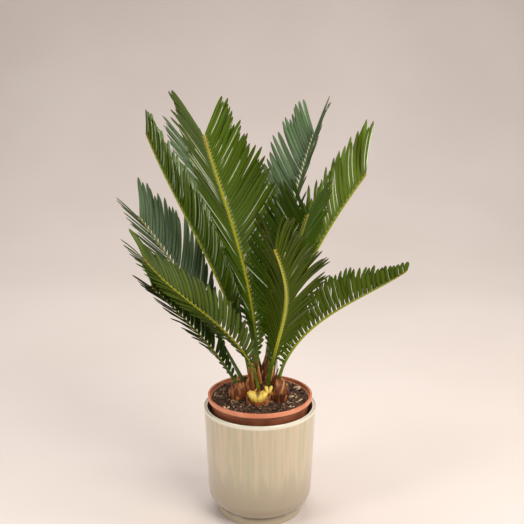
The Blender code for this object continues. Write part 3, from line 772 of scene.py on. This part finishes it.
def pebble(draw):
    """A lumpy stand-alone crumb about 1 mm in radius: corners and faces."""
    bm = bmesh.new()
    bmesh.ops.create_icosphere(bm, subdivisions=2, radius=1.0)
    shift = Vector([draw.uniform(0, 50) for _ in range(3)])
    for v in bm.verts:
        v.co *= 1 + PEBBLE_LUMPS * noise.noise(v.co * 1.3 + shift)
    corners = [v.co.copy() for v in bm.verts]
    faces = [tuple(v.index for v in f.verts) for f in bm.faces]
    bm.free()
    return corners, faces


def scatter(name, shapes, edge, count, size, flat, tone, seed):
    """Crumbs or chips strewn over the soil: size is a range, flat the share of their thickness."""
    draw = random.Random(seed)
    heap = Heap("tone")
    while count:
        angle, radius = draw.uniform(0, tau), (edge - LITTER_MARGIN) * sqrt(draw.random())
        x, y = radius * cos(angle), radius * sin(angle)
        if any(((x - bx) / rx) ** 2 + ((y - by) / ry) ** 2 < 0.7 for bx, by, rx, ry, _ in BULBS):
            continue
        count -= 1
        long = draw.uniform(*size)
        stretch = Vector((long, long * draw.uniform(0.35, 0.8), long * flat * draw.uniform(0.6, 1.3)))
        tip = Matrix.Rotation(draw.gauss(0, 0.35), 3, "X") @ Matrix.Rotation(draw.gauss(0, 0.35), 3, "Y")
        turn = Matrix.Rotation(draw.uniform(0, tau), 3, "Z") @ tip
        centre = Vector((x, y, soil_height(x, y) + 0.25 * stretch.z))
        corners, faces = draw.choice(shapes)
        points = [centre + turn @ Vector(a * b for a, b in zip(c, stretch)) for c in corners]
        heap.put(points, faces, tone=held(draw.gauss(*tone)))
    piece(name, heap, [grit()])


def shaving(centre, radius, width, start, sweep):
    """A curled wood shaving lying on the soil."""
    base = Vector((*centre, soil_height(*centre)))

    def pair(u, v):
        angle = radians(start + sweep * v)
        half = width / 2 * (0.35 + 0.65 * sin(pi * min(max(v, 0.06), 0.94)))
        outward = Vector((cos(angle), sin(angle), 0))
        point = base + outward * (radius * (1 - 0.25 * v) + half * u)
        lift = 1.6 + 1.6 * sin(pi * v) + 0.3 * u
        return [point + Vector((0, 0, lift + depth)) for depth in (0.25, -0.25)]

    return sheet(1, 22, pair)


def soil_litter(edge):
    """Crumbs, bark chips and a few curled shavings on the soil."""
    draw = random.Random(PEBBLE_SEED)
    shapes = [pebble(draw) for _ in range(PEBBLE_SHAPES)]
    scatter("soil_crumbs", shapes, edge, *CRUMBS)
    heap = Heap("tone")
    for *form, tone in SHAVINGS:
        points, faces, _ = shaving(*form)
        heap.put(points, faces, tone=tone)
    piece("soil_shavings", heap, [grit()])
    scatter("soil_chips", shapes, edge, *CHIPS)


def bulb_point(bulb, turn, tilt, out=0.0):
    """A point on a bulb by compass angle and height angle, pushed out by some millimetres."""
    x, y, rx, ry, height = bulb
    low = height if tilt > 0 else BULB_DEPTH
    flat = cos(tilt)
    return Vector((
        x + (rx + out) * flat * cos(turn), y + (ry + out) * flat * sin(turn),
        SOIL_TOP + (low + out) * sin(tilt),
    ))


def scale_sheet(bulb, turn, tilt, length, width, flare, curl):
    """A pointed papery scale that hugs a bulb and lifts off towards its tip."""
    _, _, rx, ry, height = bulb
    mean = (rx + ry) / 2
    reach = length / (0.6 * height + 0.4 * mean)

    def pair(u, v):
        half = width / 2 * (0.75 + 0.4 * sin(pi * min(v * 1.5, 1.0))) * (1 - v ** 2.6) ** 0.7
        here = tilt + reach * v
        swing = turn + curl * v * v + u * max(half, 0.15) / (mean * max(cos(min(here, 1.35)), 0.3))
        out = 0.4 + flare * v * v - 0.7 * u * u + 0.4 * sin(7 * u + 9 * turn + 3 * v) * v
        return [bulb_point(bulb, swing, min(here, 1.5), out - depth) for depth in (0, SCALE_T)]

    return sheet(6, 8, pair)


def cataphyll(root, lean, turn, length, width):
    """A dry pointed leaf that stands among the stalks."""
    rows = 8
    outward = Vector((cos(turn), sin(turn), 0))
    side = Vector((-sin(turn), cos(turn), 0))
    at = root
    spine = []
    for j in range(rows + 1):
        angle = lean * (0.4 + 1.1 * j / rows)
        rise = (outward * sin(angle) + Vector((0, 0, 1)) * cos(angle)).normalized()
        if j:
            at = at + rise * length / rows
        normal = side.cross(rise).normalized()
        if normal.dot(outward) < 0:
            normal.negate()
        spine.append((at, normal))

    def pair(u, v):
        at, normal = spine[round(v * rows)]
        half = max(width / 2 * (1 - v ** 1.5), 0.12)
        point = at + side * u * half - normal * (0.35 * half * u * u)
        return [point + normal * depth for depth in (0.3, -0.3)]

    return sheet(4, rows, pair)


def ball(turns, tilts):
    """A ball's points as height and compass angles, level rings and then its foot and top, and its faces."""
    levels = [pi * (j / tilts - 0.5) for j in range(1, tilts)]
    angles = [(level, tau * i / turns) for level in levels for i in range(turns)]
    angles += [(-pi / 2, 0.0), (pi / 2, 0.0)]
    last = (tilts - 2) * turns
    foot, top = last + turns, last + turns + 1
    faces = ring_quads(tilts - 1, turns)
    for i in range(turns):
        after = (i + 1) % turns
        faces += [(foot, after, i), (top, last + i, last + after)]
    return angles, faces


def stem_core():
    """The bulbs' woolly bodies, a little inside their scales."""
    heap = Heap()
    angles, faces = ball(CORE_TURNS, CORE_TILTS)
    for bulb in BULBS:
        points = [bulb_point(bulb, turn, tilt, -CORE_INSET) for tilt, turn in angles]
        rings = [spot + Vector((0, 0, 0.6)) * noise.noise(spot / 3) for spot in points[:-2]]
        heap.put(rings + points[-2:], faces)
    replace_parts(piece("stem_core", heap, [bulb_material()]), "stem_base")


def inside_bulb(point, index):
    """Whether a point lies well inside any bulb but the one at the index."""
    for i, (x, y, rx, ry, height) in enumerate(BULBS):
        offset = Vector(((point.x - x) / rx, (point.y - y) / ry, (point.z - SOIL_TOP) / height))
        if i != index and offset.length < 0.98:
            return True
    return False


def stem_scales():
    """Overlapping scales on the bulbs, and dry pointed leaves among the stalks."""
    draw = random.Random(SCALE_SEED)
    heap = Heap("along", "across", "tone")
    low, high = SCALE_TILTS
    for index, bulb in enumerate(BULBS):
        mean = (bulb[2] + bulb[3]) / 2
        for row in range(SCALE_ROWS):
            tilt = radians(low + (high - low) * row / (SCALE_ROWS - 1))
            count = max(4, round(tau * mean * cos(tilt) / (SCALE_WIDTH * SCALE_SPACING)))
            for k in range(count):
                turn = tau * (k + 0.5 * (row % 2) + draw.uniform(-0.35, 0.35)) / count
                here = tilt + radians(draw.uniform(-8, 8))
                length, width = SCALE_LENGTH * draw.uniform(0.6, 1.25), SCALE_WIDTH * draw.uniform(0.55, 1.2)
                flare, curl = draw.uniform(0.2, 3.2), draw.uniform(-0.3, 0.3)
                points, faces, numbers = scale_sheet(bulb, turn, here, length, width, flare, curl)
                if not inside_bulb(bulb_point(bulb, turn, here), index):
                    heap.put(points, faces, **numbers, tone=held(draw.gauss(0.45, 0.28)))
    x, y, rx, ry, height = BULBS[0]
    for k in range(CATAPHYLLS):
        turn = tau * (k * CATAPHYLL_TURN + draw.uniform(-0.03, 0.03))
        reach = 0.25 + 0.68 * draw.random()
        top = height * sqrt(1 - reach * reach)
        root = Vector((x + rx * reach * cos(turn), y + ry * reach * sin(turn), SOIL_TOP + top - 5))
        lean = radians(draw.uniform(-4, 14))
        points, faces, numbers = cataphyll(root, lean, turn, draw.uniform(13, 31), draw.uniform(4, 10))
        heap.put(points, faces, **numbers, tone=draw.uniform(0, 0.8))
    piece("stem_scales", heap, [scale_material()])


def frond_path(frond):
    """Points and headings along the midrib."""
    at = Vector(frond.foot) + Vector((0, 0, SOIL_TOP))
    step = frond.length / PATH_STEPS
    points, headings = [at.copy()], []
    for i in range(PATH_STEPS):
        s = (i + 0.5) / PATH_STEPS
        foot, belly, tip = frond.leans
        lean = radians(foot * (1 - s) ** 2 + 2 * belly * s * (1 - s) + tip * s * s)
        heading = radians(frond.azimuth + frond.curl * s)
        at = at + step * Vector(
            (sin(lean) * cos(heading), sin(lean) * sin(heading), cos(lean))
        )
        points.append(at.copy())
        headings.append(heading)
    headings.append(headings[-1])
    return points, headings


def frame_at(path, s):
    """Point, tangent, left-hand side and upper side of the midrib at a share of its length."""
    points, headings = path
    where = min(max(s, 0.0), 0.9999) * PATH_STEPS
    i = int(where)
    share = where - i
    point = points[i].lerp(points[i + 1], share)
    before = (points[i + 1] - points[max(i - 1, 0)]).normalized()
    after = (points[min(i + 2, PATH_STEPS)] - points[i]).normalized()
    tangent = before.lerp(after, share).normalized()
    left = Vector((-sin(headings[i]), cos(headings[i]), 0.0))
    return point, tangent, left, tangent.cross(left).normalized()


def midrib_radius(s):
    """Midrib radius at a share of the length."""
    for (s0, r0), (s1, r1) in zip(MIDRIB_RADII, MIDRIB_RADII[1:]):
        if s <= s1:
            return r0 + (r1 - r0) * max(s - s0, 0.0) / (s1 - s0)
    return MIDRIB_RADII[-1][1]


def midrib(path):
    """A rounded stalk with a shallow channel along its upper side: points, faces and share of the length."""
    start, tangent, left, up = frame_at(path, 0.0)
    sections = [(start - tangent * ROOT_LENGTH, left, up, midrib_radius(0.0), 0.0)]
    for i in range(MIDRIB_RINGS):
        s = i / (MIDRIB_RINGS - 1)
        point, _, left, up = frame_at(path, s)
        sections.append((point, left, up, midrib_radius(s), s))
    sections.append((point + tangent * 0.8, left, up, midrib_radius(1.0) * 0.35, 1.0))
    points, shares = [], []
    for point, left, up, radius, s in sections:
        for k in range(MIDRIB_SIDES):
            a = tau * k / MIDRIB_SIDES
            dent = MIDRIB_CHANNEL if k == MIDRIB_SIDES // 4 and s > 0.05 else 0.0
            points.append(point + (left * cos(a) + up * sin(a) * (1 - dent)) * radius)
            shares.append(s)
    last = len(points) - MIDRIB_SIDES
    caps = [tuple(reversed(range(MIDRIB_SIDES))), tuple(last + k for k in range(MIDRIB_SIDES))]
    return points, caps + ring_quads(len(sections), MIDRIB_SIDES), shares


def leaf_frame(path, s, side, rise):
    """A leaflet's start on the midrib, the tangent there, the way out along its row, its face's normal."""
    point, tangent, left, up = frame_at(path, s)
    row = cos(rise) * side * left + sin(rise) * up
    return point, tangent, row, (tangent.cross(row) * side).normalized()


def test_blade(frond, path, s, side, length, rise, sweep, grow):
    """A three-sided stand-in for a leaflet in the clearance test: points and faces."""
    point, tangent, row, face = leaf_frame(path, s, side, rise)
    bend = radians(LEAFLET_BEND)
    first = cos(sweep + bend) * tangent + sin(sweep + bend) * row
    last = cos(sweep - bend) * tangent + sin(sweep - bend) * row
    middle = point + first * length * LEAFLET_MID
    tip = middle + last * (length * (1 - LEAFLET_MID) + grow)
    corners = []
    for spot, direction, width in ((point, first, LEAFLET_W / 2), (middle, first, LEAFLET_W)):
        turn = Matrix.Rotation(radians(frond.twists[0 if side > 0 else 1]) * side, 3, direction)
        keel = turn @ face
        across = direction.cross(keel).normalized() * (width + grow) / 2
        corners += [spot + across, spot - across, spot - keel * (LEAFLET_T + grow)]
    corners.append(tip)
    sides = ((0, 3, 4), (0, 4, 1), (1, 4, 5), (1, 5, 2), (2, 5, 3), (2, 3, 0))
    return corners, [(0, 1, 2), *sides, (3, 6, 4), (4, 6, 5), (5, 6, 3)]


def leaflet_slots(frond, draw):
    """Place, row, length, rise, sweep, width share and curl of every leaflet before it gives way."""
    pairs = int(frond.length * (1 - frond.bare) / PITCH)
    for i in range(-frond.low_pairs, pairs):
        u = max(i, 0) / (pairs - 1)
        full = FIRST_LEAFLET + (1 - FIRST_LEAFLET) * sin(min(u / 0.45, 1.0) * pi / 2)
        low = 1 + min(i, 0) / (frond.low_pairs + 0.6)
        rows = zip((1, -1), *frond.rises, *frond.sweeps)
        for side, low_rise, high_rise, low_sweep, high_sweep in rows:
            rise = low_rise + (high_rise - low_rise) * u
            sweep = low_sweep + (high_sweep - low_sweep) * u
            s = frond.bare + (1 - frond.bare) * (i + 0.25 * side + 0.5) / (pairs + 0.2)
            last = frond.last[0 if side > 0 else 1]
            fade = 1 - (1 - last) * max(u - 0.45, 0.0) / 0.55
            length = frond.leaflet * full * fade * low * draw.uniform(0.9, 1.06)
            curl = draw.gauss(0, 3.5) + (draw.uniform(10, 60) if i < 0 else 0)
            loose = 3.2 if draw.random() < STRAYS else 1.0
            yield (s, side, length, rise + loose * draw.gauss(0, 1.6), sweep + loose * draw.gauss(0, 1.3),
                   0.45 + 0.55 * low ** 0.5 if i < 0 else 1.0, curl)


def clear_pose(frond, path, s, side, length, rise, sweep, obstacles):
    """The first of a leaflet's turns in which it passes clear of the other fronds, or None."""
    for share in SHORTENED:
        for rise_turn, sweep_turn in TURNS:
            pose = (length * share, radians(rise + rise_turn), radians(sweep + sweep_turn))
            grown = test_blade(frond, path, s, side, *pose, 2 * CLEARANCE)
            tree = BVHTree.FromPolygons(*grown, all_triangles=True)
            if not any(tree.overlap(other) for other in obstacles):
                return pose
    return None


def place_leaflets(frond, path, obstacles, seed):
    """Every leaflet of a frond, turned clear of the other fronds."""
    draw = random.Random(seed)
    placed = []
    for s, side, length, rise, sweep, width, curl in leaflet_slots(frond, draw):
        pose = clear_pose(frond, path, s, side, length, rise, sweep, obstacles)
        if pose:
            tone = draw.uniform(*frond.tones[0 if side > 0 else 1])
            placed.append(Leaflet(s, side, *pose, width, curl, tone, draw.gauss(0, 4.0)))
    return placed


def leaflet(frond, path, leaf):
    """A channelled blade that curves towards the frond's tip: points, shares along and across, face."""
    point, tangent, row, face = leaf_frame(path, leaf.s, leaf.side, leaf.rise)
    bend = radians(LEAFLET_BEND)
    arch = radians(frond.arch + leaf.curl)
    at = point + row * midrib_radius(leaf.s) * 0.5
    points, along, across, faces_up = [], [], [], []
    before = 0.0
    for t, share in OUTLINE:
        angle = leaf.sweep + bend * (1.1 - 2.2 * t)
        direction = cos(angle) * tangent + sin(angle) * row
        direction = (direction - face * tan(arch * (t * t - 0.2))).normalized()
        at = at + direction * leaf.length * (t - before)
        before = t
        twist = radians(frond.twists[0 if leaf.side > 0 else 1] + leaf.wring * t)
        normal = (Matrix.Rotation(twist * leaf.side, 3, direction) @ face).normalized()
        wide = direction.cross(normal).normalized() * leaf.side
        width = LEAFLET_W * share * leaf.width
        for x, z, top in SECTION:
            points.append(at + wide * x * width / 2 + normal * z * (0.3 * LEAFLET_W + 0.7 * width))
            along.append(t)
            across.append(x)
            faces_up.append(top)
    return points, along, across, faces_up


def blade_faces(rings, sides, flip):
    """Quads round a ringed blade, with caps at both ends."""
    faces = [tuple(range(sides)), tuple((rings - 1) * sides + k for k in reversed(range(sides)))]
    faces += ring_quads(rings, sides, inward=True)
    return [tuple(reversed(face)) for face in faces] if flip else faces


def heart(centre, radii, turns=36, tilts=24):
    """A fleshy lobe whose sides ride up: points, faces, height share and nearness to its crease."""
    points, deep, edge = [], [], []
    angles, faces = ball(turns, tilts)
    for tilt, turn in angles:
        x, y, z = cos(tilt) * cos(turn), cos(tilt) * sin(turn), sin(tilt)
        x *= 0.72 + 0.28 * z
        crease = exp(-(x / 0.22) ** 2)
        rise = z + 0.75 * abs(x) - 0.15
        spot = Vector((x * radii[0], y * radii[1] * (1 - 0.18 * crease), rise * radii[2]))
        points.append(Vector(centre) + spot * (1 + 0.1 * noise.noise(spot / 2.6)))
        deep.append(0.5 + 0.5 * z)
        edge.append(crease * max(0.0, z))
    return points, faces, deep, edge


def fronds():
    """Every frond: midrib, leaflets and the fleshy hearts at its foot, in one piece each."""
    paths = [frond_path(frond) for frond in FRONDS]
    ribs = [midrib(path) for path in paths]
    rib_trees = [BVHTree.FromPolygons(points, faces) for points, faces, _ in ribs]
    done = []
    for i, (frond, path, (points, faces, shares)) in enumerate(zip(FRONDS, paths, ribs)):
        obstacles = [tree for j, tree in enumerate(rib_trees) if j != i] + done
        heap = Heap("along", "across", "face", "tone")
        heap.put(points, faces, along=shares, across=0.0, face=0.0, tone=0.5)
        tests = Heap()
        for placed in place_leaflets(frond, path, obstacles, i):
            points, along, across, face = leaflet(frond, path, placed)
            faces = blade_faces(len(OUTLINE), len(SECTION), placed.side > 0)
            heap.put(points, faces, 1, along=along, across=across, face=face, tone=placed.tone)
            tests.put(*test_blade(frond, path, *placed[:5], 0.0))
        done.append(BVHTree.FromPolygons(tests.points, tests.faces, all_triangles=True))
        for (x, y, height), radii in HEARTS.get(frond.name, ()):
            points, faces, deep, crease = heart((x, y, height + SOIL_TOP), radii)
            heap.put(points, faces, 2, along=deep, across=crease, face=0.0, tone=0.5)
        mats = [rib_material(frond), leaf_material(frond), heart_material()]
        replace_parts(piece(f"{frond.name}_fine", heap, mats), frond.name)


def camera():
    """The photograph's view."""
    data = bpy.data.cameras.new("camera")
    data.sensor_width = SENSOR_MM
    data.lens = FOCAL_PX / FRAME_PX * SENSOR_MM
    data.clip_end = 20
    obj = stand("camera", data)
    obj.location = CAMERA_PLACE
    obj.rotation_euler = (radians(90 - CAMERA_PITCH), 0, 0)
    bpy.context.scene.camera = obj


def softbox(name, place, target, size, power, colour):
    """A rectangular area light."""
    data = bpy.data.lights.new(name, "AREA")
    data.shape = "RECTANGLE"
    data.size, data.size_y = size
    data.energy = power
    data.color = colour
    obj = stand(name, data)
    obj.location = place
    obj.rotation_euler = (Vector(target) - Vector(place)).to_track_quat("-Z", "Y").to_euler()


def studio():
    """A pale floor that sweeps up behind, soft lights and an even sky."""
    mat = Nodes("studio paper")
    grain = mat.noise(3, 2)
    colour = mat.layer((0.66, 0.57, 0.51), (0.69, 0.6, 0.54), grain, 0.3, 0.7)
    bend, radius = PAPER_BACK - PAPER_SWEEP_R, PAPER_SWEEP_R
    angles = [radians(a) for a in range(PAPER_SWEEP_STEP, 90, PAPER_SWEEP_STEP)]
    profile = [(PAPER_FRONT, 0.0), (bend, 0.0)]
    profile += [(bend + radius * sin(a), radius - radius * cos(a)) for a in angles]
    profile += [(PAPER_BACK, radius), (PAPER_BACK, PAPER_TOP)]
    verts = [(x, y, z) for y, z in profile for x in (-PAPER_HALF_W, PAPER_HALF_W)]
    faces = [(2 * i, 2 * i + 1, 2 * i + 3, 2 * i + 2) for i in range(len(profile) - 1)]
    mesh = bpy.data.meshes.new("floor")
    mesh.from_pydata(verts, [], faces)
    mesh.materials.append(mat.set(Base_Color=colour, Roughness=0.8))
    mesh.shade_smooth()
    stand("floor", mesh)
    for light in SOFTBOXES:
        softbox(*light)
    world = bpy.data.worlds.new("studio")
    bpy.context.scene.world = world
    world.use_nodes = True
    sky = world.node_tree.nodes["Background"]
    sky.inputs[0].default_value = SKY_COLOUR
    sky.inputs[1].default_value = SKY_STRENGTH
    bpy.context.scene.view_settings.view_transform = "Standard"


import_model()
camera()
studio()
cover_pot()
nursery_pot()
soil_litter(soil())
stem_core()
stem_scales()
fronds()
